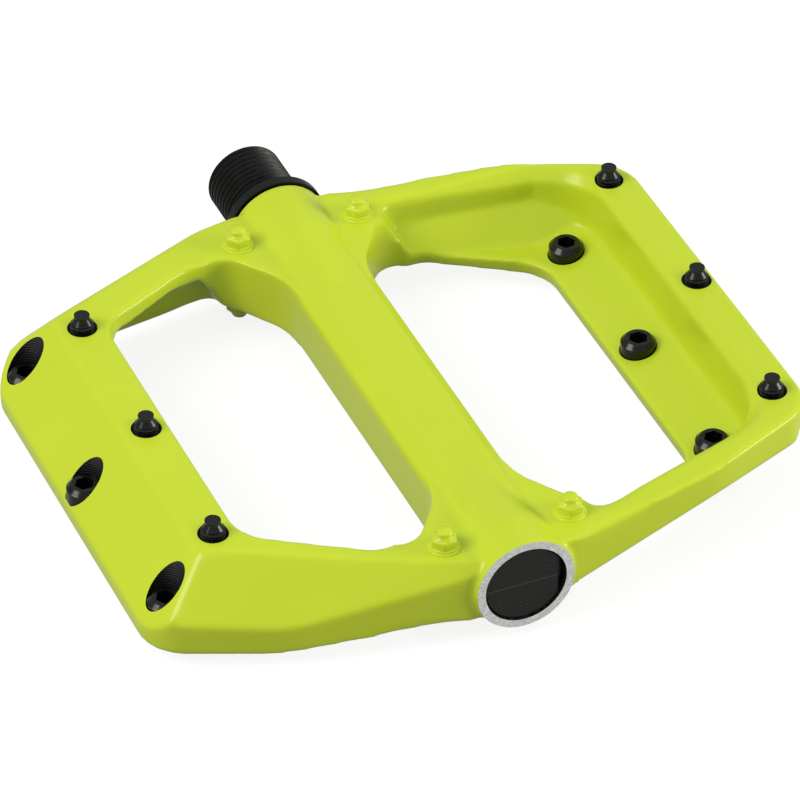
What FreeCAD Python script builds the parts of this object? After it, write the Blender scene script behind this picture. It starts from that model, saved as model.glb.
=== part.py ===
import FreeCAD, Part
import math
import os
import Sketcher

# Flat pedal. X runs fore and aft, Y along the spindle, Z up. The origin is on the
# spindle axis at the shoulder that meets the crank arm, so the thread points to +Y.
# The platform looks the same after half a turn about the spindle.
doc = FreeCAD.newDocument("flat_pedal")
sheet = doc.addObject("Spreadsheet::Sheet", "Dims")
V = FreeCAD.Vector
HALF_TURN = FreeCAD.Rotation(V(0, 1, 0), 180)
ALONG_Y = FreeCAD.Rotation(V(1, 0, 0), -90)
SHEET_ROWS = {}


def cell(name, value):
    """Put one driving dimension in the sheet under a name."""
    row = len(SHEET_ROWS) + 1
    sheet.set("A%d" % row, name)
    sheet.set("B%d" % row, str(value))
    sheet.setAlias("B%d" % row, name)
    SHEET_ROWS[name] = float(value)
    return float(value)


# Platform outline, in plan.
cell("nose_x", 61.0)
cell("knee_x", 39.5)
cell("hub_flat_x", 10.0)
cell("hub_out_y", -109.2)
cell("knee_out_y", -103.4)
cell("nose_out_y", -94.2)
cell("nose_in_y", -18.4)
cell("knee_in_y", -9.2)
cell("hub_in_y", -3.4)
cell("nose_round", 9.0)
cell("knee_round", 40.0)
HALF_Z = cell("half_thickness", 7.8)
cell("full_thickness", 15.6)
# Bar section: a land, a slope of about 48 degrees and a short upright nose.
cell("land_edge_x", 50.0)
cell("slope_foot_z", 4.5)
# Shallow dish across the platform, the same above and below.
SCOOP_R = cell("scoop_radius", 470.0)
SCOOP_DEEP = cell("scoop_floor_z", 5.75)
# Slope along the outer edge of the two arms on the thin side.
cell("trim_length", 100.0)
cell("trim_width", 60.0)
cell("trim_height", 20.0)
# Reach of the cutting tools past the solid.
TOOL_LENGTH = cell("tool_length", 240.0)
cell("wedge_x", 70.0)
cell("wedge_z", 12.0)
# Spine over the spindle.
cell("spine_half_width", 7.4)
cell("spine_side_z", 5.0)
cell("spine_top_half", 4.9)
cell("spine_top_z", 6.7)
cell("spine_length", 100.0)
SPINE_START = cell("spine_start_y", -106.0)
CAP_FACE = cell("cap_face_y", -110.4)
BOSS_FACE = cell("boss_face_y", -2.2)
cell("boss_radius", 8.9)
cell("boss_waist_radius", 6.7)
cell("boss_out_step_y", -103.5)
cell("boss_out_waist_y", -84.0)
cell("boss_in_step_y", -13.5)
cell("boss_in_waist_y", -31.0)
# Window that goes right through, seen from above on the +X side.
cell("window_plane_z", 12.0)
cell("window_draft", 10.9)
cell("window_x", 43.2)
cell("window_spine_x", 5.1)
cell("window_out_y", -88.38)
cell("window_out_tip_x", 19.32)
cell("window_out_tip_y", -101.83)
cell("window_out_spine_y", -87.3)
cell("window_in_spine_y", -26.9)
cell("window_in_tip_x", 20.02)
cell("window_in_tip_y", -12.0)
cell("window_in_y", -25.1)
cell("window_round", 8.0)
cell("window_tip_round", 6.5)
cell("window_spine_round", 16.0)
# Upright throat of the window between the hub and the arms.
cell("throat_bend_in_y", -24.0)
cell("throat_bend_out_y", -89.1)
cell("throat_point_x", 15.5)
cell("throat_point_in_y", -13.2)
cell("throat_point_out_y", -99.9)
cell("throat_reach_x", 24.0)
cell("throat_reach_in_y", -17.0)
cell("throat_reach_out_y", -96.1)
cell("throat_foot_in_y", -44.0)
cell("throat_foot_out_y", -69.1)
cell("throat_round", 12.0)
cell("throat_point_round", 5.0)
# Recess around the same window, open to the top.
cell("recess_x", 53.0)
cell("recess_lip_x", 42.2)
cell("recess_corner_out_y", -90.4)
cell("recess_knee_x", 44.5)
cell("recess_knee_out_y", -94.2)
cell("recess_tip_x", 16.5)
cell("recess_tip_out_y", -102.95)
cell("recess_corner_in_y", -19.2)
cell("recess_knee_in_y", -14.4)
cell("recess_end_x", 16.0)
cell("recess_tip_in_y", -10.1)
cell("recess_back_x", 13.5)
cell("recess_back_out_y", -94.5)
cell("recess_back_in_y", -18.5)
cell("recess_round", 12.0)
cell("recess_tip_round", 4.0)
cell("recess_low_z", -4.2)
cell("recess_high_z", -2.1)
cell("recess_arm_z", -3.4)
cell("bevel_x", 51.4)
cell("bevel_start_z", 5.2)
cell("bevel_height", 5.0)
cell("bevel_slope", 45.0)
# Pins: six lie on the lands at the windows, six on the outer rims.
INNER_X = cell("inner_pin_x", 46.3)
INNER_Y = [cell("inner_pin_y1", -25.5), cell("inner_pin_y2", -55.8), cell("inner_pin_y3", -86.1)]
OUTER_X = [cell("outer_pin_x1", 55.9), cell("outer_pin_x2", 57.6), cell("outer_pin_x3", 55.9)]
OUTER_Y = [cell("outer_pin_y1", -22.3), cell("outer_pin_y2", -55.2), cell("outer_pin_y3", -88.4)]
cell("pin_tip_z", 10.65)
cell("head_seat_z", 4.25)
cell("head_top_z", 1.1)
cell("head_radius", 3.15)
cell("head_flat_radius", 2.4)
cell("head_round_z", 1.9)
cell("key_top_z", 3.55)
cell("pin_radius", 2.0)
cell("pin_root_radius", 1.7)
cell("pin_crest_radius", 2.13)
cell("pin_tip_radius", 1.38)
cell("pin_shoulder_radius", 1.88)
cell("pin_shoulder_z", 9.05)
cell("pin_neck_radius", 1.2)
cell("pin_cone_z", 9.95)
cell("pin_neck_z", 10.1)
cell("pin_disc_z", 10.25)
cell("ridge_start_z", 7.25)
for step in range(3):
    cell("ridge_z%da" % step, 7.35 + 0.6 * step)
    cell("ridge_z%db" % step, 7.5 + 0.6 * step)
    cell("ridge_z%dc" % step, 7.72 + 0.6 * step)
cell("hex_key_width", 3.0)
cell("pin_hole_radius", 2.05)
cell("ring_foot_z", 7.15)
cell("ring_flare_radius", 6.9)
cell("head_bore_radius", 3.35)
# Cast posts.
POST_X = cell("post_x", 11.5)
POST_Y = [cell("post_out_y", -102.4), cell("post_in_y", -11.7)]
cell("post_base_z", 4.6)
cell("post_flange_radius", 2.75)
cell("post_flange_top", 6.25)
cell("post_collar_radius", 2.45)
cell("post_collar_top", 6.65)
cell("post_hex_width", 4.2)
cell("post_hex_top", 8.35)
cell("post_tip_radius", 1.4)
cell("post_dome_z", 9.1)
cell("post_dome_radius", 0.9)
cell("post_tip_z", 9.6)
# Spindle and its fits.
cell("thread_radius", 7.144)
cell("thread_root_radius", 6.45)
cell("thread_out_radius", 7.244)
cell("thread_span", 10.16)
cell("thread_chamfer_y", 13.5)
cell("thread_nose_radius", 6.6)
cell("groove_low_y", 1.998)
cell("groove_mid_low_y", 2.525)
cell("groove_mid_high_y", 2.675)
cell("groove_high_y", 3.202)
cell("thread_end_y", 14.0)
cell("collar_radius", 9.4)
cell("collar_back_y", -1.8)
cell("journal_radius", 6.0)
cell("journal_start_y", -13.4)
cell("journal_end_y", -13.8)
cell("shaft_radius", 4.9)
cell("shaft_thin_radius", 4.0)
cell("shaft_taper_y", -60.0)
cell("shaft_thin_y", -88.0)
cell("shoulder_y", -96.4)
cell("shaft_end_radius", 3.0)
cell("shaft_tip_radius", 2.6)
cell("shaft_tip_y", -106.1)
cell("shaft_end_y", -106.6)
cell("crank_key_width", 8.0)
cell("crank_key_depth", 6.0)
# Housing bores, from the cap end to the crank end.
cell("bore_start_y", -112.0)
cell("bore_end_y", -1.0)
cell("cap_bore_radius", 7.4)
cell("cap_bore_y", -106.9)
cell("bearing_radius", 6.5)
cell("bearing_back_y", -96.4)
cell("clear_bore_radius", 5.4)
cell("bush_back_y", -14.0)
cell("bush_radius", 6.9)
cell("seal_bore_radius", 7.5)
cell("seal_back_y", -4.8)
# Small parts.
cell("bush_inner_radius", 6.03)
cell("bush_front_y", -5.0)
cell("seal_inner_radius", 6.25)
cell("seal_front_y", -2.4)
BEARING_Y = cell("bearing_centre_y", -98.9)
cell("bearing_front_y", -101.4)
cell("shield_out_front_y", -101.25)
cell("shield_out_back_y", -100.95)
cell("shield_in_front_y", -96.85)
cell("shield_in_back_y", -96.55)
cell("shield_inner", 4.15)
cell("cage_inner", 4.4)
cell("cage_outer", 5.1)
cell("cage_front_y", -100.3)
cell("cage_back_y", -97.5)
cell("cage_pocket_radius", 1.02)
cell("outer_ring_inner", 5.45)
cell("inner_ring_outer", 4.05)
BALL_PITCH = cell("ball_pitch_radius", 4.75)
cell("ball_radius", 0.95)
cell("groove_radius", 1.0)
cell("shaft_hole_radius", 3.02)
cell("washer_radius", 4.6)
cell("washer_front_y", -102.4)
cell("nut_width", 10.0)
cell("nut_thick", 3.2)
cell("nut_offset", 102.4)
cell("cap_radius", 7.36)
cell("cap_front_y", -110.0)
cell("cap_back_y", -107.2)
cell("cap_edge_radius", 7.0)
cell("cap_edge_y", -109.64)
cell("cap_groove_radius", 6.5)
cell("cap_groove_front_y", -108.7)
cell("cap_groove_back_y", -107.7)
cell("cap_flat_x", 6.0)
cell("cap_flat_reach", 9.0)
cell("cap_flat_depth", 1.4)
RING_Y = cell("cap_ring_y", -108.2)
cell("cap_ring_major", 6.95)
cell("cap_ring_minor", 0.43)
doc.recompute()
BALLS = 7


def bind(obj, prop, word):
    """Drive a property from the sheet."""
    obj.setExpression(prop, to_cells(word))


def to_cells(word):
    """Turn 'nose_x' into 'Dims.nose_x', '-nose_x' into '-Dims.nose_x', and keep a number."""
    word = str(word)
    if word in SHEET_ROWS:
        return "Dims." + word
    if word[0] == "-" and word[1:] in SHEET_ROWS:
        return "-Dims." + word[1:]
    return word


def value(word):
    """The number that such a word stands for now."""
    word = str(word)
    if word in SHEET_ROWS:
        return SHEET_ROWS[word]
    if word[0] == "-" and word[1:] in SHEET_ROWS:
        return -SHEET_ROWS[word[1:]]
    return float(word)


def plane_of(body, role):
    """The body's own origin plane with this role."""
    return [f for f in body.Origin.OriginFeatures if f.Role == role][0]


def new_body(name):
    """An empty PartDesign body."""
    return doc.addObject("PartDesign::Body", name)


def polygon(body, name, role, corners):
    """A closed polygon sketch whose corners are driven by the sheet."""
    sketch = body.newObject("Sketcher::SketchObject", name)
    sketch.AttachmentSupport = [(plane_of(body, role), "")]
    sketch.MapMode = "FlatFace"
    spots = [V(value(a), value(b), 0) for a, b in corners]
    count = len(spots)
    lines = [Part.LineSegment(spots[i], spots[(i + 1) % count]) for i in range(count)]
    sketch.addGeometry(lines, False)
    for i in range(count):
        sketch.addConstraint(Sketcher.Constraint("Coincident", i, 2, (i + 1) % count, 1))
    for i, (a, b) in enumerate(corners):
        across = sketch.addConstraint(Sketcher.Constraint("DistanceX", -1, 1, i, 1, spots[i].x))
        sketch.setExpression("Constraints[%d]" % across, to_cells(a))
        upward = sketch.addConstraint(Sketcher.Constraint("DistanceY", -1, 1, i, 1, spots[i].y))
        sketch.setExpression("Constraints[%d]" % upward, to_cells(b))
    return sketch


def pad(body, name, sketch, length, middle=True, reverse=False):
    """A pad of the sketch; middle makes it straddle the sketch plane."""
    feature = body.newObject("PartDesign::Pad", name)
    feature.Profile = sketch
    bind(feature, "Length", length)
    if middle:
        feature.Midplane = True
    feature.Reversed = reverse
    doc.recompute()
    return feature


def turned(body, name, corners):
    """A solid of revolution about Y; corners are (radius, y)."""
    sketch = polygon(body, name + "_profile", "XY_Plane", corners)
    feature = body.newObject("PartDesign::Revolution", name)
    feature.Profile = sketch
    feature.ReferenceAxis = (sketch, ["V_Axis"])
    feature.Angle = 360
    doc.recompute()
    return feature


def turned_upright(body, name, corners):
    """A solid of revolution about Z; corners are (radius, z)."""
    sketch = polygon(body, name + "_profile", "XZ_Plane", corners)
    feature = body.newObject("PartDesign::Revolution", name)
    feature.Profile = sketch
    feature.ReferenceAxis = (sketch, ["V_Axis"])
    feature.Angle = 360
    doc.recompute()
    return feature


def round_uprights(body, base, spots, radius):
    """Fillet the rising edges that start at the given plan positions."""
    names = []
    for number, edge in enumerate(base.Shape.Edges, 1):
        ends = [vertex.Point for vertex in edge.Vertexes]
        if abs(ends[0].z - ends[-1].z) < 1.0:
            continue
        near = [math.hypot(end.x - value(a), end.y - value(b)) for a, b in spots for end in ends]
        if min(near) < 0.05:
            names.append("Edge%d" % number)
    if len(names) != len(spots):
        raise RuntimeError("%s: %d of %d edges found" % (base.Name, len(names), len(spots)))
    fillet = body.newObject("PartDesign::Fillet", base.Name + "_" + radius)
    fillet.Base = (base, names)
    bind(fillet, "Radius", radius)
    doc.recompute()
    return fillet


def hexagon(body, name, role, width):
    """A regular hexagon sketch across flats width, centred on the body's origin."""
    sketch = body.newObject("Sketcher::SketchObject", name)
    sketch.AttachmentSupport = [(plane_of(body, role), "")]
    sketch.MapMode = "FlatFace"
    reach = value(width) / math.sqrt(3)
    turns = [math.radians(60 * i) for i in range(6)]
    spots = [V(reach * math.cos(a), reach * math.sin(a), 0) for a in turns]
    lines = [Part.LineSegment(spots[i], spots[(i + 1) % 6]) for i in range(6)]
    sketch.addGeometry(lines, False)
    for i in range(6):
        sketch.addConstraint(Sketcher.Constraint("Coincident", i, 2, (i + 1) % 6, 1))
    for i in range(6):
        across = sketch.addConstraint(Sketcher.Constraint("DistanceX", -1, 1, i, 1, spots[i].x))
        factor = math.cos(turns[i]) / math.sqrt(3)
        sketch.setExpression("Constraints[%d]" % across, "Dims.%s * %.9f" % (width, factor))
        upward = sketch.addConstraint(Sketcher.Constraint("DistanceY", -1, 1, i, 1, spots[i].y))
        factor = math.sin(turns[i]) / math.sqrt(3)
        sketch.setExpression("Constraints[%d]" % upward, "Dims.%s * %.9f" % (width, factor))
    return sketch


def leaning_box(name, point, along, outward, size="trim"):
    """A box that lies on a plane through point, grows along outward and trims an edge."""
    first = V(*along).normalize()
    third = V(*outward)
    third = (third - first * third.dot(first)).normalize()
    second = third.cross(first)
    box = doc.addObject("Part::Box", name)
    bind(box, "Length", size + "_length")
    bind(box, "Width", size + "_width")
    bind(box, "Height", size + "_height")
    turn = FreeCAD.Rotation(first, second, third, "ZXY")
    half_length = SHEET_ROWS[size + "_length"] / 2
    half_width = SHEET_ROWS[size + "_width"] / 2
    corner = V(*point) - first * half_length - second * half_width
    box.Placement = FreeCAD.Placement(corner, turn)
    return box


def placed(name, source, place):
    """The same shape at another place, for use in a boolean."""
    copy = doc.addObject("Part::Compound", name)
    copy.Links = [source]
    copy.Placement = place
    return copy


def joined(name, shapes):
    """One boolean union."""
    fuse = doc.addObject("Part::MultiFuse", name)
    fuse.Shapes = shapes
    return fuse


def cut(name, base, tool):
    """Base less tool."""
    result = doc.addObject("Part::Cut", name)
    result.Base = base
    result.Tool = tool
    return result


def half_turned(name, source):
    """The same shape after half a turn about the spindle axis."""
    return placed(name, source, FreeCAD.Placement(V(0, 0, 0), HALF_TURN))


def casting_blank():
    """Outline of the platform with both bar slopes and the shallow dishes."""
    blank = new_body("blank")
    plan = [
        ("-hub_flat_x", "hub_out_y"),
        ("hub_flat_x", "hub_out_y"),
        ("knee_x", "knee_out_y"),
        ("nose_x", "nose_out_y"),
        ("nose_x", "nose_in_y"),
        ("knee_x", "knee_in_y"),
        ("hub_flat_x", "hub_in_y"),
        ("-hub_flat_x", "hub_in_y"),
        ("-knee_x", "knee_in_y"),
        ("-nose_x", "nose_in_y"),
        ("-nose_x", "nose_out_y"),
        ("-knee_x", "knee_out_y"),
    ]
    slab = pad(blank, "slab", polygon(blank, "outline", "XY_Plane", plan), "full_thickness")
    noses = [("nose_x", "nose_out_y"), ("nose_x", "nose_in_y")]
    noses += [("-nose_x", "nose_out_y"), ("-nose_x", "nose_in_y")]
    slab = round_uprights(blank, slab, noses, "nose_round")
    knees = [plan[2], plan[5], plan[8], plan[11]]
    round_uprights(blank, slab, knees, "knee_round")
    for name, side in (("slope_top", "-"), ("slope_low", "")):
        other = "" if side else "-"
        wedge = [
            (side + "land_edge_x", other + "half_thickness"),
            (side + "nose_x", side + "slope_foot_z"),
            (side + "wedge_x", side + "slope_foot_z"),
            (side + "wedge_x", other + "wedge_z"),
            (side + "land_edge_x", other + "wedge_z"),
        ]
        pocket = blank.newObject("PartDesign::Pocket", name)
        pocket.Profile = polygon(blank, name + "_profile", "XZ_Plane", wedge)
        pocket.Midplane = True
        bind(pocket, "Length", "tool_length")
        doc.recompute()
    scoops = []
    for name, sign in (("scoop_top", 1), ("scoop_low", -1)):
        scoop = doc.addObject("Part::Cylinder", name)
        bind(scoop, "Radius", "scoop_radius")
        bind(scoop, "Height", "tool_length")
        scoop.Placement = FreeCAD.Placement(V(0, -TOOL_LENGTH / 2, sign * (SCOOP_DEEP + SCOOP_R)), ALONG_Y)
        scoops.append(scoop)
    return cut("blank_dished", blank, joined("trims", scoops + arm_slopes()))


def arm_slopes():
    """Boxes that slope the outer edge of the arms on the thin sides."""
    tools = []
    middle = (CAP_FACE + BOSS_FACE) / 2
    for name, side, apart, run in (("slope_out", 1, 33.3, 18.2), ("slope_in", -1, 35.3, 19.8)):
        edge_y = middle - side * apart
        tool = leaning_box(name, (-50.0, edge_y, HALF_Z), (42.0, -side * run, -2.0), (-14.35, -side * 37.1, 36.1))
        tools.append(tool)
        tools.append(half_turned(name + "_turned", tool))
    return tools


def spine():
    """Eight-sided beam over the spindle with a round boss at each end."""
    beam = new_body("spine")
    section = [
        ("-spine_top_half", "-spine_top_z"),
        ("spine_top_half", "-spine_top_z"),
        ("spine_half_width", "-spine_side_z"),
        ("spine_half_width", "spine_side_z"),
        ("spine_top_half", "spine_top_z"),
        ("-spine_top_half", "spine_top_z"),
        ("-spine_half_width", "spine_side_z"),
        ("-spine_half_width", "-spine_side_z"),
    ]
    sketch = polygon(beam, "spine_section", "XZ_Plane", section)
    sketch.AttachmentOffset = FreeCAD.Placement(V(0, 0, -SPINE_START), FreeCAD.Rotation())
    pad(beam, "spine_pad", sketch, "spine_length", middle=False, reverse=True)
    out = [
        (0, "cap_face_y"),
        ("boss_radius", "cap_face_y"),
        ("boss_radius", "boss_out_step_y"),
        ("boss_waist_radius", "boss_out_waist_y"),
        (0, "boss_out_waist_y"),
    ]
    turned(beam, "boss_out", out)
    inside = [
        (0, "boss_in_waist_y"),
        ("boss_waist_radius", "boss_in_waist_y"),
        ("boss_radius", "boss_in_step_y"),
        ("boss_radius", "boss_face_y"),
        (0, "boss_face_y"),
    ]
    turned(beam, "boss_in", inside)
    return beam


def recess_plan(bar_x):
    """Plan of the recess: along both arms and the bar, closed behind the window edge."""
    return [
        ("recess_tip_x", "recess_tip_out_y"),
        ("recess_knee_x", "recess_knee_out_y"),
        (bar_x, "recess_corner_out_y"),
        (bar_x, "recess_corner_in_y"),
        ("recess_knee_x", "recess_knee_in_y"),
        ("recess_end_x", "recess_tip_in_y"),
        ("recess_back_x", "recess_back_in_y"),
        ("recess_back_x", "recess_back_out_y"),
    ]


def window_half(name, side, reverse):
    """Half of the window, widening with draft from the middle to one face."""
    half = new_body(name)
    plan = [
        ("window_x", "window_out_y"),
        ("window_x", "window_in_y"),
        ("window_in_tip_x", "window_in_tip_y"),
        ("window_spine_x", "window_in_spine_y"),
        ("window_spine_x", "window_out_spine_y"),
        ("window_out_tip_x", "window_out_tip_y"),
    ]
    sketch = polygon(half, name + "_plan", "XY_Plane", plan)
    bind(sketch, "AttachmentOffset.Base.z", side + "window_plane_z")
    solid = pad(half, name + "_pad", sketch, "window_plane_z", middle=False, reverse=reverse)
    bind(solid, "TaperAngle", "-window_draft")
    doc.recompute()
    solid = round_uprights(half, solid, [plan[0], plan[1]], "window_round")
    solid = round_uprights(half, solid, [plan[2], plan[5]], "window_tip_round")
    round_uprights(half, solid, [plan[3], plan[4]], "window_spine_round")
    return half


def window_throat(name, end):
    """Upright corner of the window where it narrows between the spine and an arm."""
    throat = new_body(name)
    plan = [
        ("spine_half_width", "throat_foot_%s_y" % end),
        ("spine_half_width", "throat_bend_%s_y" % end),
        ("throat_point_x", "throat_point_%s_y" % end),
        ("throat_reach_x", "throat_reach_%s_y" % end),
        ("throat_reach_x", "throat_foot_%s_y" % end),
    ]
    solid = pad(throat, name + "_pad", polygon(throat, name + "_plan", "XY_Plane", plan), "trim_height")
    solid = round_uprights(throat, solid, [plan[1]], "throat_round")
    round_uprights(throat, solid, [plan[2]], "throat_point_round")
    return throat


def recess_channel():
    """The recess less its sloping floor."""
    recess = new_body("recess")
    plan = recess_plan("recess_x")
    solid = pad(recess, "recess_pad", polygon(recess, "recess_outline", "XY_Plane", plan), "full_thickness")
    solid = round_uprights(recess, solid, [plan[2], plan[3]], "recess_round")
    round_uprights(recess, solid, [plan[0], plan[5]], "recess_tip_round")
    floor = new_body("recess_floor")
    section = [
        ("recess_back_x", "-wedge_z"),
        ("wedge_x", "-wedge_z"),
        ("wedge_x", "recess_high_z"),
        ("recess_x", "recess_high_z"),
        ("recess_lip_x", "recess_low_z"),
        ("recess_back_x", "recess_arm_z"),
    ]
    pad(floor, "floor_pad", polygon(floor, "floor_section", "XZ_Plane", section), "tool_length")
    ramps = [floor]
    for name, side in (("ramp_in", 1), ("ramp_out", -1)):
        foot_y = (CAP_FACE + BOSS_FACE) / 2 + side * 44.2
        ramp = leaning_box(name, (30.0, foot_y, 1.2), (25.4, -side * 4.8, 0.0), (0.178, side * 0.94, -1.0))
        ramps.append(ramp)
    ramps.append(leaning_box("ramp_end", (17.9, -56.0, 1.2), (0.0, 1.0, 0.0), (-0.87, 0.0, -0.49)))
    return cut("recess_channel", recess, joined("recess_ground", ramps))


def recess_bevel():
    """Flared mouth of the recess."""
    bevel = new_body("recess_bevel")
    plan = recess_plan("bevel_x")
    sketch = polygon(bevel, "bevel_plan", "XY_Plane", plan)
    bind(sketch, "AttachmentOffset.Base.z", "bevel_start_z")
    flare = pad(bevel, "bevel_pad", sketch, "bevel_height", middle=False)
    bind(flare, "TaperAngle", "bevel_slope")
    doc.recompute()
    flare = round_uprights(bevel, flare, [plan[2], plan[3]], "recess_round")
    round_uprights(bevel, flare, [plan[0], plan[5]], "recess_tip_round")
    return bevel


def window_tools():
    """Everything that the +X window and its recess take away."""
    upper = window_half("window_upper", "", True)
    lower = window_half("window_lower", "-", False)
    throats = [window_throat("throat_in", "in"), window_throat("throat_out", "out")]
    return joined("window_side", [upper, lower, recess_channel(), recess_bevel()] + throats)


def cast_post():
    """One of the small posts cast with the platform: flange, hexagon and round tip."""
    post = new_body("post")
    lower = [
        (0, "post_base_z"),
        ("post_flange_radius", "post_base_z"),
        ("post_flange_radius", "post_flange_top"),
        ("post_collar_radius", "post_flange_top"),
        ("post_collar_radius", "post_collar_top"),
        (0, "post_collar_top"),
    ]
    turned_upright(post, "post_flange", lower)
    pad(post, "post_hex", hexagon(post, "post_hex_plan", "XY_Plane", "post_hex_width"), "post_hex_top", False)
    upper = [
        (0, "post_collar_top"),
        ("post_tip_radius", "post_collar_top"),
        ("post_tip_radius", "post_dome_z"),
        ("post_dome_radius", "post_tip_z"),
        (0, "post_tip_z"),
    ]
    turned_upright(post, "post_dome", upper)
    return post


def bore_tool():
    """Stepped bore through the spine: cap seat, bearing seat, shaft room, bush and seal seats."""
    tool = new_body("bore")
    steps = [
        (0, "bore_start_y"),
        ("cap_bore_radius", "bore_start_y"),
        ("cap_bore_radius", "cap_bore_y"),
        ("bearing_radius", "cap_bore_y"),
        ("bearing_radius", "bearing_back_y"),
        ("clear_bore_radius", "bearing_back_y"),
        ("clear_bore_radius", "bush_back_y"),
        ("bush_radius", "bush_back_y"),
        ("bush_radius", "seal_back_y"),
        ("seal_bore_radius", "seal_back_y"),
        ("seal_bore_radius", "bore_end_y"),
        (0, "bore_end_y"),
    ]
    turned(tool, "bore_steps", steps)
    return tool


def pin_hole():
    """Hole for a pin that points up: head room from below, clearance, bare countersink."""
    tool = new_body("pin_hole")
    steps = [
        (0, "-wedge_z"),
        ("head_bore_radius", "-wedge_z"),
        ("head_bore_radius", "head_seat_z"),
        ("pin_hole_radius", "head_seat_z"),
        ("pin_hole_radius", "ring_foot_z"),
        ("ring_flare_radius", "wedge_z"),
        (0, "wedge_z"),
    ]
    turned_upright(tool, "pin_hole_steps", steps)
    return tool


def pin_places():
    """Name and placement of each pin: up pins stand as drawn, down pins are turned over."""
    over = FreeCAD.Rotation(V(0, 1, 0), 180)
    upright = FreeCAD.Rotation()
    places = []
    for number in range(3):
        places.append(("left_up_pin_%d" % (number + 1), -INNER_X, INNER_Y[number], upright))
        places.append(("right_up_pin_%d" % (number + 1), OUTER_X[number], OUTER_Y[number], upright))
        places.append(("right_down_pin_%d" % (number + 1), INNER_X, INNER_Y[number], over))
        places.append(("left_down_pin_%d" % (number + 1), -OUTER_X[number], OUTER_Y[number], over))
    return [(name, FreeCAD.Placement(V(x, y, 0), turn)) for name, x, y, turn in places]


def platform():
    """The cast platform with its posts, windows, recesses, bores and pin holes."""
    window = window_tools()
    opened = cut("opened", casting_blank(), joined("windows", [window, half_turned("window_other_side", window)]))
    post = cast_post()
    solids = [opened, spine()]
    for row, y in enumerate(POST_Y):
        for column, x in enumerate((-POST_X, POST_X)):
            spot = "%d%d" % (row, column)
            solids.append(placed("post_top_" + spot, post, FreeCAD.Placement(V(x, y, 0), FreeCAD.Rotation())))
            solids.append(placed("post_low_" + spot, post, FreeCAD.Placement(V(x, y, 0), HALF_TURN)))
    hole = pin_hole()
    tools = [bore_tool()]
    for name, place in pin_places():
        tools.append(placed(name + "_hole", hole, place))
    casting = cut("platform_body", joined("casting", solids), joined("machining", tools))
    return casting


def pin_profile():
    """Half section of a pin: head, thread under the land, two ridges, cone, neck and flat tip."""
    ridges = []
    for step in range(3):
        name = "ridge_z%d" % step
        ridges += [("pin_crest_radius", name + "a"), ("pin_crest_radius", name + "b"), ("pin_root_radius", name + "c")]
    profile = [
        (0, "head_top_z"),
        ("head_flat_radius", "head_top_z"),
        ("head_radius", "head_round_z"),
        ("head_radius", "head_seat_z"),
        ("pin_radius", "head_seat_z"),
        ("pin_radius", "ridge_start_z"),
    ]
    top = [
        ("pin_shoulder_radius", "pin_shoulder_z"),
        ("pin_neck_radius", "pin_cone_z"),
        ("pin_neck_radius", "pin_neck_z"),
        ("pin_tip_radius", "pin_disc_z"),
        ("pin_tip_radius", "pin_tip_z"),
        (0, "pin_tip_z"),
    ]
    return profile + ridges + top


def screw_pin(name, place):
    """One screw-in pin with a socket in its head."""
    pin = new_body(name)
    turned_upright(pin, name + "_turned", pin_profile())
    sketch = hexagon(pin, name + "_key_plan", "XY_Plane", "hex_key_width")
    pocket = pin.newObject("PartDesign::Pocket", name + "_key")
    pocket.Profile = sketch
    pocket.Reversed = True
    bind(pocket, "Length", "key_top_z")
    pin.Placement = place
    return pin


def spindle():
    """Spindle: crank thread, collar, journal, shaft, bearing seat and key socket."""
    axle = new_body("spindle")
    steps = [
        (0, "shaft_end_y"),
        ("shaft_tip_radius", "shaft_end_y"),
        ("shaft_end_radius", "shaft_tip_y"),
        ("shaft_end_radius", "shoulder_y"),
        ("shaft_thin_radius", "shoulder_y"),
        ("shaft_thin_radius", "shaft_thin_y"),
        ("shaft_radius", "shaft_taper_y"),
        ("shaft_radius", "journal_end_y"),
        ("journal_radius", "journal_start_y"),
        ("journal_radius", "collar_back_y"),
        ("collar_radius", "collar_back_y"),
        ("collar_radius", 0),
        ("thread_radius", 0),
        ("thread_radius", "thread_chamfer_y"),
        ("thread_nose_radius", "thread_end_y"),
        (0, "thread_end_y"),
    ]
    turned(axle, "spindle_turned", steps)
    sketch = hexagon(axle, "crank_key_plan", "XZ_Plane", "crank_key_width")
    bind(sketch, "AttachmentOffset.Base.z", "-thread_end_y")
    pocket = axle.newObject("PartDesign::Pocket", "crank_key")
    pocket.Profile = sketch
    bind(pocket, "Length", "crank_key_depth")
    pocket.Reversed = True
    doc.recompute()
    return axle


def thread_grooves(axle):
    """Sixty-degree grooves at the thread's pitch around the crank end."""
    groove = axle.newObject("PartDesign::Groove", "thread_groove")
    corners = [
        ("thread_out_radius", "groove_low_y"),
        ("thread_root_radius", "groove_mid_low_y"),
        ("thread_root_radius", "groove_mid_high_y"),
        ("thread_out_radius", "groove_high_y"),
    ]
    sketch = polygon(axle, "thread_groove_profile", "XY_Plane", corners)
    groove.Profile = sketch
    groove.ReferenceAxis = (sketch, ["V_Axis"])
    groove.Angle = 360
    doc.recompute()
    rows = axle.newObject("PartDesign::LinearPattern", "thread_turns")
    rows.Originals = [groove]
    rows.Direction = (sketch, ["V_Axis"])
    bind(rows, "Length", "thread_span")
    rows.Occurrences = 9
    axle.Tip = rows
    doc.recompute()
    return axle


def ring_part(name, corners):
    """A plain turned piece about the spindle axis."""
    body = new_body(name)
    turned(body, name + "_turned", corners)
    return body


def square_ring(name, inner, outer, front, back):
    """A ring of rectangular section."""
    return ring_part(name, [(inner, front), (outer, front), (outer, back), (inner, back)])


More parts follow.
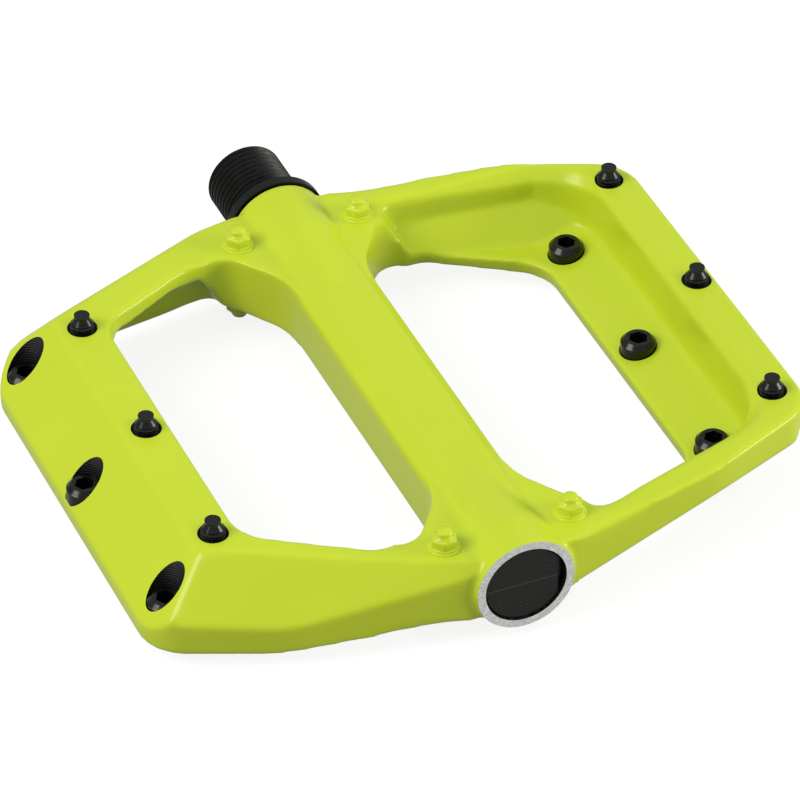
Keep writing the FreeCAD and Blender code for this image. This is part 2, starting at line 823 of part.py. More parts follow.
def raceway(name, source):
    """Cut the ball groove into a bearing ring."""
    torus = doc.addObject("Part::Torus", name + "_groove")
    bind(torus, "Radius1", "ball_pitch_radius")
    bind(torus, "Radius2", "groove_radius")
    torus.Placement = FreeCAD.Placement(V(0, BEARING_Y, 0), ALONG_Y)
    return cut(name, source, torus)


def ball(name, number, radius):
    """A sphere at one of the evenly spaced ball stations."""
    turn = math.radians(360.0 * number / BALLS)
    sphere = doc.addObject("Part::Sphere", name)
    bind(sphere, "Radius", radius)
    spot = V(BALL_PITCH * math.cos(turn), BEARING_Y, BALL_PITCH * math.sin(turn))
    sphere.Placement = FreeCAD.Placement(spot, FreeCAD.Rotation())
    return sphere


def cage_pocket(number):
    """A round hole through the cage at one ball station."""
    turn = 360.0 * number / BALLS
    drill = doc.addObject("Part::Cylinder", "cage_pocket_%d" % (number + 1))
    bind(drill, "Radius", "cage_pocket_radius")
    bind(drill, "Height", "bearing_radius")
    aim = FreeCAD.Rotation(V(0, 1, 0), 90 - turn)
    drill.Placement = FreeCAD.Placement(V(0, BEARING_Y, 0), aim)
    return drill


def bearing_parts():
    """Sealed ball bearing: rings, balls, cage and the two shields."""
    outer = square_ring("outer_ring_blank", "outer_ring_inner", "bearing_radius", "bearing_front_y", "bearing_back_y")
    inner = square_ring("inner_ring_blank", "shaft_end_radius", "inner_ring_outer", "bearing_front_y", "shoulder_y")
    parts = [raceway("bearing_outer_ring", outer), raceway("bearing_inner_ring", inner)]
    ring = square_ring("cage_blank", "cage_inner", "cage_outer", "cage_front_y", "cage_back_y")
    parts.append(cut("bearing_cage", ring, joined("cage_pockets", [cage_pocket(i) for i in range(BALLS)])))
    parts += [ball("bearing_ball_%d" % (i + 1), i, "ball_radius") for i in range(BALLS)]
    outside = ("shield_inner", "outer_ring_inner", "shield_out_front_y", "shield_out_back_y")
    inside = ("shield_inner", "outer_ring_inner", "shield_in_front_y", "shield_in_back_y")
    parts.append(square_ring("bearing_shield_out", *outside))
    parts.append(square_ring("bearing_shield_in", *inside))
    return parts


def lock_nut():
    """Hexagon nut that holds the bearing on the spindle."""
    nut = new_body("lock_nut")
    sketch = hexagon(nut, "nut_plan", "XZ_Plane", "nut_width")
    bind(sketch, "AttachmentOffset.Base.z", "nut_offset")
    pad(nut, "nut_pad", sketch, "nut_thick", middle=False)
    hole = nut.newObject("PartDesign::Groove", "nut_hole")
    corners = [(0, "bore_start_y"), ("shaft_hole_radius", "bore_start_y")]
    corners += [("shaft_hole_radius", "shoulder_y"), (0, "shoulder_y")]
    sketch = polygon(nut, "nut_hole_profile", "XY_Plane", corners)
    hole.Profile = sketch
    hole.ReferenceAxis = (sketch, ["V_Axis"])
    hole.Angle = 360
    doc.recompute()
    return nut


def end_cap():
    """Push-in cap with a seal groove and a flat for prying it out."""
    cap = new_body("end_cap")
    corners = [
        (0, "cap_front_y"),
        ("cap_edge_radius", "cap_front_y"),
        ("cap_radius", "cap_edge_y"),
        ("cap_radius", "cap_groove_front_y"),
        ("cap_groove_radius", "cap_groove_front_y"),
        ("cap_groove_radius", "cap_groove_back_y"),
        ("cap_radius", "cap_groove_back_y"),
        ("cap_radius", "cap_back_y"),
        (0, "cap_back_y"),
    ]
    turned(cap, "cap_turned", corners)
    chord = [
        ("cap_flat_x", "-cap_flat_reach"),
        ("cap_flat_reach", "-cap_flat_reach"),
        ("cap_flat_reach", "cap_flat_reach"),
        ("cap_flat_x", "cap_flat_reach"),
    ]
    sketch = polygon(cap, "cap_flat_plan", "XZ_Plane", chord)
    bind(sketch, "AttachmentOffset.Base.z", "-cap_front_y")
    pocket = cap.newObject("PartDesign::Pocket", "cap_flat")
    pocket.Profile = sketch
    bind(pocket, "Length", "cap_flat_depth")
    doc.recompute()
    return cap


def cap_ring():
    """Round rubber ring in the cap's groove."""
    torus = doc.addObject("Part::Torus", "cap_seal_ring")
    bind(torus, "Radius1", "cap_ring_major")
    bind(torus, "Radius2", "cap_ring_minor")
    torus.Placement = FreeCAD.Placement(V(0, RING_Y, 0), ALONG_Y)
    return torus


def build():
    """Every piece of the pedal, in order."""
    pieces = [platform(), thread_grooves(spindle())]
    pieces += [screw_pin(name, place) for name, place in pin_places()]
    pieces.append(square_ring("spindle_bush", "bush_inner_radius", "bush_radius", "bush_back_y", "bush_front_y"))
    pieces.append(square_ring("lip_seal", "seal_inner_radius", "seal_bore_radius", "seal_back_y", "seal_front_y"))
    pieces += bearing_parts()
    pieces.append(
        square_ring("bearing_washer", "shaft_hole_radius", "washer_radius", "washer_front_y", "bearing_front_y")
    )
    pieces += [lock_nut(), end_cap(), cap_ring()]
    return pieces


def check(pieces):
    """Stop if any object failed or any piece is empty or broken."""
    doc.recompute()
    for obj in doc.Objects:
        if "Invalid" in obj.State or "Error" in obj.State:
            raise RuntimeError("%s did not compute: %s" % (obj.Name, obj.State))
    for piece in pieces:
        shape = piece.Shape
        if shape.isNull() or not shape.isValid() or shape.Volume <= 0:
            raise RuntimeError("%s has no valid shape" % piece.Name)
        if len(shape.Solids) != 1:
            raise RuntimeError("%s has %d solids" % (piece.Name, len(shape.Solids)))


def export(pieces):
    """Write each piece to its own file, named after its label."""
    os.makedirs("parts", exist_ok=True)
    for piece in pieces:
        piece.Shape.exportStep("parts/%s.step" % piece.Label)
        box = piece.Shape.BoundBox
        spot = (piece.Label, piece.Shape.Volume, box.XMin, box.XMax, box.YMin, box.YMax, box.ZMin, box.ZMax)
        print("%-22s %9.2f  x %7.2f %7.2f  y %8.2f %7.2f  z %7.2f %7.2f" % spot)


PIECES = build()
check(PIECES)
export(PIECES)
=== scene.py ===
import math

import bmesh
import bpy
import numpy as np
from mathutils import Matrix, Vector


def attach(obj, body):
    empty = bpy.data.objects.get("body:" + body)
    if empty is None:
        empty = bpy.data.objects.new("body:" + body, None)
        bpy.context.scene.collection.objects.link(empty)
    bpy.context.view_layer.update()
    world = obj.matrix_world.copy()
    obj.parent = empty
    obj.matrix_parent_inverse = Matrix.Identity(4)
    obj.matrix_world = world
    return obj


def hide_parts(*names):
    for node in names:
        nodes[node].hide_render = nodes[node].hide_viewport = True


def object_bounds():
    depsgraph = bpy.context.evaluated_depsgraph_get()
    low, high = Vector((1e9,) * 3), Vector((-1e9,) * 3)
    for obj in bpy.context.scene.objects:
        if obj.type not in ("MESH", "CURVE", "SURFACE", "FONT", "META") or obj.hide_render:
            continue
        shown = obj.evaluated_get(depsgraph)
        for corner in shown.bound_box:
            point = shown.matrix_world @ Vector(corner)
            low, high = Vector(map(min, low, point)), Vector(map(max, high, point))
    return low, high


# Flat pedal: a cast aluminium platform that spins on a threaded steel spindle.
# The spindle lies along Y with its thread at +Y; the platform looks the same after
# half a turn about it.
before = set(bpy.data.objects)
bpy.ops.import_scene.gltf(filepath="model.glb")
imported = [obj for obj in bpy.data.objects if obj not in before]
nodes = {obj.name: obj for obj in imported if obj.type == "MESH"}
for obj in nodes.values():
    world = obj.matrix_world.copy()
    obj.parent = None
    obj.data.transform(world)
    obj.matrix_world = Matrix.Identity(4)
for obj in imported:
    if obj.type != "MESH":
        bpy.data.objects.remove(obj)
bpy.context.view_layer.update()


# ---------------------------------------------------------------- platform casting
# One aluminium casting: a spine over the spindle and four arms that carry two bars.
# It comes out of the mould with soft edges, and the bores, the pin seats and the two
# end faces are machined after that, so those edges are crisp.
MM = 0.001
ALONG_Y = Matrix.Rotation(math.radians(-90), 4, "X")
HALF_TURN = Matrix.Rotation(math.pi, 4, "Y")
BOTH_SIDES = (Matrix.Identity(4), HALF_TURN)

# Sizes of the casting in millimetres. The pins are those of the +X bar.
LAND_Z = 7.8
CAP_FACE_Y, BOSS_FACE_Y = -110.4, -2.2
BORES = [(7.4, -106.9), (6.5, -96.4), (5.4, -14.0), (6.9, -4.8), (7.5, BOSS_FACE_Y)]
INNER_PINS = [(46.3, -25.5), (46.3, -55.8), (46.3, -86.1)]
OUTER_PINS = [(55.9, -22.3), (57.6, -55.2), (55.9, -88.4)]
HEAD_BORE, SHANK_BORE = 3.35, 2.05
HEAD_SEAT_Z = 4.25
MOUTH_RADIUS, MOUTH_DEPTH = 2.7, 0.65
POSTS = [(x, y) for x in (-11.5, 11.5) for y in (-102.4, -11.7)]

# Flat faces of the casting, each as a point on it and the way that it faces.
RECESS_FLOOR = (Vector((53.0, 0, -2.1)), Vector((-2.1, 0, 10.8)))
BAR_SLOPE = (Vector((50.0, 0, -LAND_Z)), Vector((12.3, 0, -11.0)))
# The slopes along the arms: which end, distance from the middle, and drift along Y.
ARM_SLOPES = ((1, 33.3, 18.2), (-1, 35.3, 19.8))
ARM_MIDDLE_Y = -56.3


class Wire:
    """A socket of a finish. Sums and products of wires become Math nodes."""

    def __init__(self, tree, socket=None):
        self.tree = tree
        self.socket = socket

    def node(self, kind, settings=None, inputs=None, output=0):
        """Add a node, set it up, feed its sockets and return one of its outputs."""
        made = self.tree.nodes.new(kind)
        for key, setting in (settings or {}).items():
            setattr(made, key, setting)
        for key, feed in (inputs or {}).items():
            if isinstance(feed, Wire):
                self.tree.links.new(feed.socket, made.inputs[key])
            else:
                made.inputs[key].default_value = feed
        return Wire(self.tree, made.outputs[output] if len(made.outputs) else None)

    def beside(self, output):
        """Another output of the node that this wire leaves."""
        return Wire(self.tree, self.socket.node.outputs[output])

    def maths(self, operation, *feeds):
        """A Math node of the given feeds."""
        return self.node("ShaderNodeMath", {"operation": operation}, dict(enumerate(feeds)))

    def __add__(self, other):
        return self.maths("ADD", self, other)

    def __radd__(self, other):
        return self.maths("ADD", other, self)

    def __sub__(self, other):
        return self.maths("SUBTRACT", self, other)

    def __rsub__(self, other):
        return self.maths("SUBTRACT", other, self)

    def __mul__(self, other):
        return self.maths("MULTIPLY", self, other)

    def __rmul__(self, other):
        return self.maths("MULTIPLY", other, self)

    def noise(self, scale, detail=2.0, roughness=0.5):
        """Cloudy noise of the given scale, in cells per metre."""
        feeds = {"Vector": self, "Scale": scale, "Detail": detail, "Roughness": roughness}
        return self.node("ShaderNodeTexNoise", {}, feeds)

    def spread(self, low=0.3, high=0.7, start=0.0, end=1.0):
        """Map low to high, at first the range that noise mostly has, onto start to end."""
        feeds = {0: self, 1: low, 2: high, 3: start, 4: end}
        return self.node("ShaderNodeMapRange", {"clamp": True}, feeds)

    def blend(self, first, second):
        """Mix two colours by this wire."""
        feeds = {0: self, 6: (*first, 1), 7: (*second, 1)}
        return self.node("ShaderNodeMix", {"data_type": "RGBA"}, feeds, 2)

    def bump(self, strength, distance):
        """A normal from this wire as a height, with the distance in metres."""
        return self.node("ShaderNodeBump", {}, {"Height": self, "Strength": strength, "Distance": distance})


def finish(name):
    """An empty material and a wire that carries places on the piece."""
    material = bpy.data.materials.new(name)
    material.use_nodes = True
    material.node_tree.nodes.clear()
    places = Wire(material.node_tree).node("ShaderNodeTexCoord", output="Object")
    return material, places


def surface(material, places, **inputs):
    """Close a material with one Principled shader."""
    named = {key.replace("_", " "): feed for key, feed in inputs.items()}
    shader = places.node("ShaderNodeBsdfPrincipled", {}, named)
    places.node("ShaderNodeOutputMaterial", {}, {"Surface": shader})
    return material


def lime_paint():
    """Glossy lime powder coat with the faint orange peel that such paint dries with."""
    material, places = finish("lime_paint")
    peel = places.noise(420.0, 1.0)
    cloud = places.noise(60.0, 1.0)
    return surface(
        material,
        places,
        Base_Color=cloud.spread().blend((0.580, 0.685, 0.026), (0.595, 0.700, 0.028)),
        Roughness=places.noise(200.0, 1.0).spread(start=0.29, end=0.33),
        Specular_IOR_Level=0.28,
        Coat_Weight=0.2,
        Coat_IOR=1.4,
        Coat_Roughness=0.1,
        Normal=peel.bump(0.05, 0.00004),
    )


def machined_metal():
    """Turned aluminium at the end face, with fine rings from the tool."""
    material, places = finish("machined_metal")
    across = places.node("ShaderNodeSeparateXYZ", {}, {0: places})
    upward = across.beside("Z")
    radius = places.maths("SQRT", across * across + upward * upward)
    rings = places.maths("SINE", radius * 26000.0)
    smear = places.noise(1800.0, 4.0, 0.7)
    return surface(
        material,
        places,
        Base_Color=smear.spread(0.35, 0.65).blend((0.66, 0.66, 0.67), (0.97, 0.97, 0.96)),
        Metallic=0.85,
        Roughness=smear.spread(start=0.28, end=0.5),
        Normal=(rings * 0.3 + smear).bump(0.5, 0.00004),
    )


def bore_metal():
    """Dark bare metal of a drilled bore with the ridges that the cutter leaves."""
    material, places = finish("bore_metal")
    upward = places.node("ShaderNodeSeparateXYZ", {}, {0: places}, "Z")
    rings = places.maths("SINE", upward * 11500.0)
    smear = places.noise(1500.0, 3.0)
    return surface(
        material,
        places,
        Base_Color=(rings * 0.5 + smear).spread(0.1, 0.9).blend((0.02, 0.02, 0.02), (0.10, 0.10, 0.105)),
        Metallic=0.7,
        Roughness=0.3,
        Normal=(rings * 0.4 + smear * 0.6).bump(0.6, 0.0001),
    )


def add_turned(form, rows, turn, count=64):
    """Add a solid turned about Z, with rows of (radius, height), moved by turn.

    Returns its points and its faces.
    """
    points = []
    for radius, height in rows:
        for step in range(count):
            angle = 2 * math.pi * step / count
            spot = Vector((radius * math.cos(angle), radius * math.sin(angle), height))
            points.append(form.verts.new(turn @ spot))
    rings = [points[first : first + count] for first in range(0, len(points), count)]
    faces = []
    for low, high in zip(rings, rings[1:]):
        for step in range(count):
            after = (step + 1) % count
            faces.append(form.faces.new((low[step], low[after], high[after], high[step])))
    faces.append(form.faces.new(rings[0][::-1]))
    faces.append(form.faces.new(rings[-1]))
    return points, faces


def clip(form, points, place, outward):
    """Cut a closed solid off at a plane, close the cut and return the points left."""
    points = list(dict.fromkeys(points))
    edges = dict.fromkeys(edge for point in points for edge in point.link_edges)
    faces = dict.fromkeys(face for point in points for face in point.link_faces)
    made = bmesh.ops.bisect_plane(
        form,
        geom=[*points, *edges, *faces],
        plane_co=place,
        plane_no=outward,
        clear_outer=True,
        dist=1e-6,
    )
    rim = [item for item in made["geom_cut"] if isinstance(item, bmesh.types.BMEdge)]
    if rim:
        bmesh.ops.holes_fill(form, edges=rim, sides=0)
    corners = [item for item in made["geom_cut"] if isinstance(item, bmesh.types.BMVert)]
    return [point for point in points if point.is_valid] + corners


def turned_plane(turn, plane):
    """A plane's point and unit normal after a turn."""
    place, outward = plane
    return turn @ place, (turn.to_3x3() @ outward).normalized()


def arm_slope(end, apart, run):
    """The plane of the slope along one arm, with its normal square to the arm's run."""
    along = Vector((42.0, -end * run, -2.0)).normalized()
    outward = Vector((-14.35, -end * 37.1, 36.1))
    outward = (outward - along * outward.dot(along)).normalized()
    return Vector((-50.0, ARM_MIDDLE_Y - end * apart, LAND_Z)), outward


def plugs():
    """Solids that fill every machined hole, so that the casting can be softened first."""
    form = bmesh.new()
    proud, spare, lap = 0.9, 0.12, 0.02
    start = CAP_FACE_Y - proud
    for radius, end in BORES:
        add_turned(form, [(radius + spare, start), (radius + spare, end + lap)], ALONG_Y)
        start = end - lap
    boss_radius, deep = 8.9, 2.0
    for near, far in (
        (CAP_FACE_Y - proud, CAP_FACE_Y + deep),
        (BOSS_FACE_Y - deep, BOSS_FACE_Y + proud),
    ):
        add_turned(form, [(boss_radius, near), (boss_radius, far)], ALONG_Y)
    head_plug, nose_plug = 3.5, 2.75
    for turn in BOTH_SIDES:
        for x, y in INNER_PINS:
            place = turn @ Matrix.Translation((x, y, 0))
            points, _ = add_turned(form, [(head_plug, -LAND_Z + 1.0), (head_plug, -2.0)], place)
            clip(form, points, *turned_plane(turn, RECESS_FLOOR))
            add_turned(form, [(nose_plug, -LAND_Z), (nose_plug, -LAND_Z + 1.2)], place)
        for x, y in OUTER_PINS:
            place = turn @ Matrix.Translation((x, y, 0))
            add_turned(form, [(nose_plug, HEAD_SEAT_Z - 0.1), (nose_plug, LAND_Z)], place)
            points, _ = add_turned(form, [(head_plug, -9.0), (head_plug, HEAD_SEAT_Z)], place)
            points = clip(form, points, *turned_plane(turn, BAR_SLOPE))
            for slope in ARM_SLOPES:
                plane = turned_plane(HALF_TURN @ turn, arm_slope(*slope))
                points = clip(form, points, *plane)
    bmesh.ops.scale(form, vec=(MM, MM, MM), verts=form.verts)
    bmesh.ops.recalc_face_normals(form, faces=form.faces)
    return form


def cutters():
    """Solids that machine the bores, the pin seats and the two end faces."""
    form = bmesh.new()
    clear_radius, clear = 12.0, 1.9
    start = CAP_FACE_Y
    rows = [(clear_radius, CAP_FACE_Y - clear), (clear_radius, CAP_FACE_Y)]
    for radius, end in BORES:
        rows += [(radius, start), (radius, end)]
        start = end
    rows += [(clear_radius, BOSS_FACE_Y), (clear_radius, BOSS_FACE_Y + clear)]
    add_turned(form, rows, ALONG_Y, 128)
    seat = [
        (HEAD_BORE, HEAD_SEAT_Z),
        (SHANK_BORE, HEAD_SEAT_Z),
        (SHANK_BORE, LAND_Z - MOUTH_DEPTH),
        (MOUTH_RADIUS, LAND_Z),
        (MOUTH_RADIUS + 0.2, LAND_Z + 0.2),
    ]
    recess_top, below_bar = -2.2, -12.0
    for turn in BOTH_SIDES:
        for x, y in INNER_PINS:
            rows = [(radius, -height) for radius, height in reversed(seat)]
            rows.append((HEAD_BORE, recess_top))
            add_turned(form, rows, turn @ Matrix.Translation((x, y, 0)), 48)
        for x, y in OUTER_PINS:
            rows = [(HEAD_BORE, below_bar), *seat]
            add_turned(form, rows, turn @ Matrix.Translation((x, y, 0)), 48)
    bmesh.ops.scale(form, vec=(MM, MM, MM), verts=form.verts)
    bmesh.ops.recalc_face_normals(form, faces=form.faces)
    return form


def new_piece(name, form):
    """An object from a bmesh."""
    mesh = bpy.data.meshes.new(name)
    form.to_mesh(mesh)
    form.free()
    piece = bpy.data.objects.new(name, mesh)
    bpy.context.scene.collection.objects.link(piece)
    return piece


def settled(piece):
    """Apply an object's modifiers to its mesh."""
    graph = bpy.context.evaluated_depsgraph_get()
    mesh = bpy.data.meshes.new_from_object(piece.evaluated_get(graph))
    piece.modifiers.clear()
    old = piece.data
    piece.data = mesh
    bpy.data.meshes.remove(old)
    return piece


def filled_casting():
    """The casting as one fine even grid, with its machined holes filled."""
    form = bmesh.new()
    form.from_mesh(nodes["platform_body"].data)
    bmesh.ops.remove_doubles(form, verts=form.verts, dist=2e-6)
    filler = plugs()
    extra = bpy.data.meshes.new("filler")
    filler.to_mesh(extra)
    filler.free()
    form.from_mesh(extra)
    piece = new_piece("platform_casting", form)
    remesh = piece.modifiers.new("grid", "REMESH")
    remesh.mode = "VOXEL"
    remesh.voxel_size = 0.34 * MM
    return settled(piece)


def fade(distance, width=4.0):
    """Rises from 0 to 1 over the width, from where the distance is 0."""
    return np.clip(distance / width, 0, 1)


def melt_weight(spots):
    """Where the mould leaves the softest edges: the arm slopes and the windows' tips."""
    x, y, z = spots.T
    slope_start, tip_middle, tip_half, tip_start = 46.0, 17.5, 8.0, 34.0
    slopes = (x * z < 0) * fade(np.abs(x) - slope_start)
    tips = fade(tip_half - np.abs(np.abs(x) - tip_middle))
    tips *= fade(np.abs(y + 56.5) - tip_start) * (x * z > 0)
    return np.maximum(slopes, tips)


def smooth(piece, name, passes, group=""):
    """Add a modifier that rounds off edges, in a vertex group if one is named."""
    rounding = piece.modifiers.new(name, "SMOOTH")
    rounding.factor = 0.5
    rounding.iterations = passes
    rounding.vertex_group = group


def casting():
    """The whole platform, softened, then machined."""
    piece = filled_casting()
    mesh = piece.data
    spots = np.empty(len(mesh.vertices) * 3, np.float32)
    mesh.vertices.foreach_get("co", spots)
    spots = spots.reshape(-1, 3)
    # The posts are made apart, so the casting is cut down to its spine where they stand.
    post_reach, spine_top, spine_rise = 3.1 * MM, 5.75 * MM, 1 / 0.94
    for x, y in POSTS:
        near = np.hypot(spots[:, 0] - x * MM, spots[:, 1] - y * MM) < post_reach
        top = spine_top + spots[:, 0] ** 2 * spine_rise
        spots[near, 2] = np.clip(spots[near, 2], -top[near], top[near])
    mesh.vertices.foreach_set("co", spots.ravel())
    weight = melt_weight(spots / MM)
    group = piece.vertex_groups.new(name="soft")
    levels = 8
    for level in range(1, levels + 1):
        chosen = np.flatnonzero(np.round(weight * levels) == level)
        group.add(chosen.tolist(), level / levels, "REPLACE")
    smooth(piece, "soften", 24)
    smooth(piece, "melt", 70, "soft")
    tool = new_piece("tool", cutters())
    machine = piece.modifiers.new("machine", "BOOLEAN")
    machine.operation = "DIFFERENCE"
    machine.solver = "MANIFOLD"
    machine.object = tool
    settled(piece)
    bpy.data.objects.remove(tool)
    return piece


def sort_faces(piece):
    """Bare metal on the machined faces, paint on the rest."""
    mesh = piece.data
    count = len(mesh.polygons)
    centre = np.empty(count * 3, np.float32)
    normal = np.empty(count * 3, np.float32)
    mesh.polygons.foreach_get("center", centre)
    mesh.polygons.foreach_get("normal", normal)
    x, y, z = (centre.reshape(-1, 3) / MM).T
    facing_x, facing_y, facing_z = normal.reshape(-1, 3).T
    paint, turned, drilled = 0, 1, 2
    slots = np.full(count, paint, np.int32)
    for face_y in (CAP_FACE_Y, BOSS_FACE_Y):
        slots[(np.abs(y - face_y) < 0.02) & (np.abs(facing_y) > 0.99)] = turned
    in_bore = (np.hypot(x, z) < BORES[-1][0] + 0.05) & (x * facing_x + z * facing_z < 0)
    slots[in_bore & (np.abs(facing_y) < 0.1)] = drilled
    for turn in (1, -1):
        for pin_x, pin_y in INNER_PINS + OUTER_PINS:
            across, along = x - turn * pin_x, y - pin_y
            apart = np.hypot(across, along)
            inward = across * facing_x + along * facing_y < -0.5 * apart
            in_head_bore = apart < HEAD_BORE + 0.02
            wall = in_head_bore & (np.abs(facing_z) < 0.3) & inward
            shelf = in_head_bore & (np.abs(np.abs(z) - HEAD_SEAT_Z) < 0.03)
            at_mouth = np.abs(np.abs(z) - LAND_Z) < MOUTH_DEPTH + 0.05
            mouth = (apart < MOUTH_RADIUS + 0.02) & at_mouth & inward
            slots[wall | shelf | mouth] = drilled
    mesh.polygons.foreach_set("material_index", slots)
    mesh.polygons.foreach_set("use_smooth", np.ones(count, bool))
    mesh.update()


platform = casting()
# The cut leaves an empty slot, which would otherwise come before the three finishes.
platform.data.materials.clear()
for metal_or_paint in (lime_paint(), machined_metal(), bore_metal()):
    platform.data.materials.append(metal_or_paint)
sort_faces(platform)
platform.data.set_sharp_from_angle(angle=math.radians(38))
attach(platform, "platform_group")
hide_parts("platform_body")


# ---------------------------------------------------------------- cast posts
# Eight short grip posts, four on each face, cast in one with the platform's spine and
# painted with it: a round foot, a hexagon with worn edges and a domed tip.
def cast_posts():
    """All eight posts, with the rows of each turned solid in millimetres."""
    form = bmesh.new()
    foot = [(2.85, 4.6), (2.85, 6.0), (2.78, 6.15), (2.62, 6.25), (2.5, 6.28), (2.48, 6.5)]
    foot += [(2.4, 6.62), (2.2, 6.7), (1.5, 6.75)]
    tip = [(1.9, 8.2), (1.78, 8.45), (1.5, 8.6), (1.42, 8.75), (1.4, 9.1), (1.28, 9.35)]
    tip += [(1.0, 9.52), (0.5, 9.6), (0.05, 9.6)]
    hexagon = [(2.32, 6.4), (2.42, 6.6), (2.42, 7.95), (2.1, 8.32), (1.6, 8.4)]
    hexagon_turn = Matrix.Rotation(math.radians(8), 4, "Z")
    for turn in BOTH_SIDES:
        for x, y in POSTS:
            place = turn @ Matrix.Translation((x, y, 0))
            add_turned(form, foot, place, 48)
            add_turned(form, tip, place, 40)
            _, faces = add_turned(form, hexagon, place @ hexagon_turn, 6)
            edges = list(dict.fromkeys(edge for face in faces for edge in face.edges))
            bmesh.ops.bevel(form, geom=edges, offset=0.16, segments=3, profile=0.5, affect="EDGES")
    bmesh.ops.scale(form, vec=(MM, MM, MM), verts=form.verts)
    bmesh.ops.recalc_face_normals(form, faces=form.faces)
    for face in form.faces:
        face.smooth = True
    return new_piece("cast_posts", form)


posts = cast_posts()
posts.data.materials.append(platform.data.materials[0])
posts.data.set_sharp_from_angle(angle=math.radians(50))
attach(posts, "platform_group")


# ---------------------------------------------------------------- spindle and lock nut
# A chromoly steel spindle, turned from bar and black finished, with the standard pedal
# thread and a round collar at the crank end. A lock nut of the same finish screws onto
# its other end.
def black_steel():
    """Satin black finish on turned steel."""
    material, places = finish("black_steel")
    grain = places.noise(700.0, 4.0, 0.6)
    return surface(
        material,
        places,
        Base_Color=grain.spread().blend((0.003, 0.003, 0.003), (0.007, 0.007, 0.007)),
        Roughness=grain.spread(start=0.30, end=0.45),
        Specular_IOR_Level=0.25,
        Normal=places.noise(2500.0, 2.0).bump(0.25, 0.00003),
    )


def wear(node, material):
    """Give every material slot of a carried node one finish."""
    mesh = nodes[node].data
    if not mesh.materials:
        mesh.materials.append(material)
    for slot in range(len(mesh.materials)):
        mesh.materials[slot] = material


steel = black_steel()
for node in ("spindle", "lock_nut"):
    wear(node, steel)


# ---------------------------------------------------------------- bearing, bush and seals
# Seven balls in a brass cage run between two ground steel rings at the cap end, behind
# rubber shields. A polymer bush carries the crank end, with a rubber lip seal before it.
def plain(name, colour, metallic, roughness):
    """A quiet finish for pieces inside the bore."""
    material, places = finish(name)
    darker = [channel * 0.9 for channel in colour]
    shade = places.noise(900.0, 3.0).spread().blend(darker, colour)
    return surface(material, places, Base_Color=shade, Metallic=metallic, Roughness=roughness)


def rubber():
    """Black rubber with a faint bloom."""
    material, places = finish("black_rubber")
    bloom = places.noise(500.0, 3.0)
    return surface(
        material,
        places,
        Base_Color=bloom.spread(0.3, 0.8).blend((0.012, 0.012, 0.012), (0.022, 0.022, 0.022)),
        Roughness=0.7,
        Normal=bloom.bump(0.2, 0.00004),
    )


ground_steel = plain("bright_steel", (0.62, 0.62, 0.63), 1.0, 0.22)
for node in ("bearing_inner_ring", "bearing_outer_ring", "bearing_washer"):
    wear(node, ground_steel)
for number in range(1, 8):
    wear("bearing_ball_%d" % number, ground_steel)
wear("bearing_cage", plain("brass_cage", (0.62, 0.46, 0.20), 1.0, 0.35))
wear("spindle_bush", plain("bush_polymer", (0.70, 0.67, 0.56), 0.0, 0.5))
black_rubber = rubber()
for node in ("lip_seal", "bearing_shield_out", "bearing_shield_in"):
    wear(node, black_rubber)


# ---------------------------------------------------------------- end cap
# A thin moulded cap closes the bearing bore. A rubber ring in its groove holds it, and a
# faint line across its face is where the two halves of the mould met.
def cap_plastic():
    """Dark moulded plastic with a fine spark-eroded texture."""
    material, places = finish("cap_plastic")
    speck = places.noise(3800.0, 3.0, 0.7)
    upward = places.node("ShaderNodeSeparateXYZ", {}, {0: places}, "Z")
    seam = places.maths("ABSOLUTE", upward).spread(0.00003, 0.00012, 0.35, 0.0)
    marks = places.maths("MAXIMUM", speck.spread(0.60, 0.72), seam)
    return surface(
        material,
        places,
        Base_Color=marks.blend((0.015, 0.015, 0.0145), (0.16, 0.16, 0.155)),
        Roughness=speck.spread(start=0.42, end=0.62),
        Specular_IOR_Level=0.2,
        Normal=speck.bump(0.5, 0.00005),
    )


wear("end_cap", cap_plastic())
wear("cap_seal_ring", black_rubber)


# ---------------------------------------------------------------- grip pins
# Twelve M4 steel screws with a black oxide finish. Each is screwed in from the far
# side, so that its flat nose stands proud and its socket head sits in a pocket.
def pin_steel():
    """Black oxide on steel, with a faint random grain in tone, roughness and bump."""
    material, places = finish("pin_steel")
    grain = places.noise(1600.0, 4.0, 0.6)
    return surface(
        material,
        places,
        Base_Color=grain.spread(0.45, 0.75).blend((0.002, 0.002, 0.002), (0.010, 0.010, 0.011)),
        Roughness=grain.spread(start=0.14, end=0.26),
        Specular_IOR_Level=0.35,
        Normal=grain.bump(0.2, 0.00003),
    )


pin_finish = pin_steel()
for side in ("left", "right"):
    for way in ("up", "down"):
        for number in (1, 2, 3):
            wear("%s_%s_pin_%d" % (side, way, number), pin_finish)


# ---------------------------------------------------------------- floor, light and camera
# The pedal rests on its lower pins on a plain white floor under soft, even light. The
# floor lies a hair below the pins, so that they don't cut it.
def floor_white():
    """A white floor that reads as white to the eye and keeps a faint shadow."""
    material, places = finish("floor_white")
    to_eye = places.node("ShaderNodeLightPath", output="Is Camera Ray")
    mirrored = to_eye.beside("Is Glossy Ray")
    seen = places.maths("MAXIMUM", to_eye, mirrored * 0.4)
    matt = places.node("ShaderNodeBsdfDiffuse", {}, {"Color": (0.22, 0.22, 0.22, 1)})
    glow = places.node("ShaderNodeEmission", {}, {"Color": (1, 1, 1, 1), "Strength": seen * 0.86})
    both = places.node("ShaderNodeAddShader", {}, {0: matt, 1: glow})
    places.node("ShaderNodeOutputMaterial", {}, {"Surface": both})
    return material


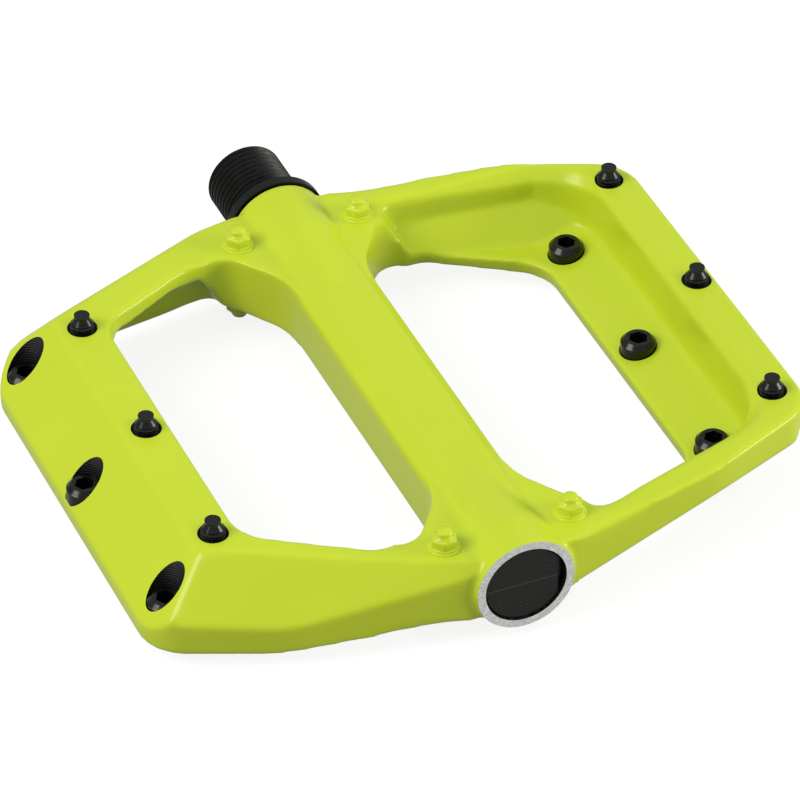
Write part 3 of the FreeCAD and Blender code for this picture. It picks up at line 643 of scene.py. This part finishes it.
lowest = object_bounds()[0]
floor_form = bmesh.new()
bmesh.ops.create_grid(floor_form, x_segments=1, y_segments=1, size=3.0)
floor = new_piece("floor", floor_form)
floor.location.z = lowest[2] - 0.05 * MM
floor.data.materials.append(floor_white())

world = bpy.data.worlds.new("studio")
bpy.context.scene.world = world
world.use_nodes = True
world.node_tree.nodes.clear()
direction = Wire(world.node_tree).node("ShaderNodeTexCoord", output="Generated")
height = direction.node("ShaderNodeSeparateXYZ", {}, {0: direction}, "Z")
to_eye = direction.node("ShaderNodeLightPath", output="Is Camera Ray")
level = height.spread(-0.1, 1.0, 0.30, 0.72)
sky_feeds = {
    "Color": to_eye.blend((0.90, 1.0, 0.94), (1, 1, 1)),
    "Strength": to_eye * (1.0 - level) + level,
}
sky = direction.node("ShaderNodeBackground", {}, sky_feeds)
direction.node("ShaderNodeOutputWorld", {}, {"Surface": sky})

pedal_middle = Vector((0, -0.056, 0))


def soft_lamp(name, place, size, power):
    """A square soft box that faces the middle of the pedal."""
    lamp = bpy.data.lights.new(name, "AREA")
    lamp.size = size
    lamp.energy = power
    lamp.color = (1.0, 0.96, 0.90)
    holder = bpy.data.objects.new(name, lamp)
    holder.location = place
    holder.rotation_euler = (pedal_middle - Vector(place)).to_track_quat("-Z", "Y").to_euler()
    bpy.context.scene.collection.objects.link(holder)


soft_lamp("left_box", (-0.72, -0.06, 0.66), 0.5, 5.4)
soft_lamp("right_box", (0.98, -0.53, 0.13), 0.6, 11.5)

AZIMUTH, ELEVATION, ROLL = math.radians(-23.49), math.radians(38.48), math.radians(0.15)
DISTANCE = 1.02197
flat = math.cos(ELEVATION)
back = Vector((math.sin(AZIMUTH) * flat, -math.cos(AZIMUTH) * flat, math.sin(ELEVATION)))
aim = Vector((0.00028, -0.05674, 0.0))
eye = bpy.data.cameras.new("eye")
eye.sensor_width = 36.0
eye.lens = 265.83
eye.clip_start = 0.05
eye.clip_end = 20.0
camera = bpy.data.objects.new("eye", eye)
camera.matrix_world = (
    Matrix.Translation(aim + back * DISTANCE)
    @ back.to_track_quat("Z", "Y").to_matrix().to_4x4()
    @ Matrix.Rotation(ROLL, 4, "Z")
)
bpy.context.scene.collection.objects.link(camera)
bpy.context.scene.camera = camera
bpy.context.scene.view_settings.view_transform = "Standard"
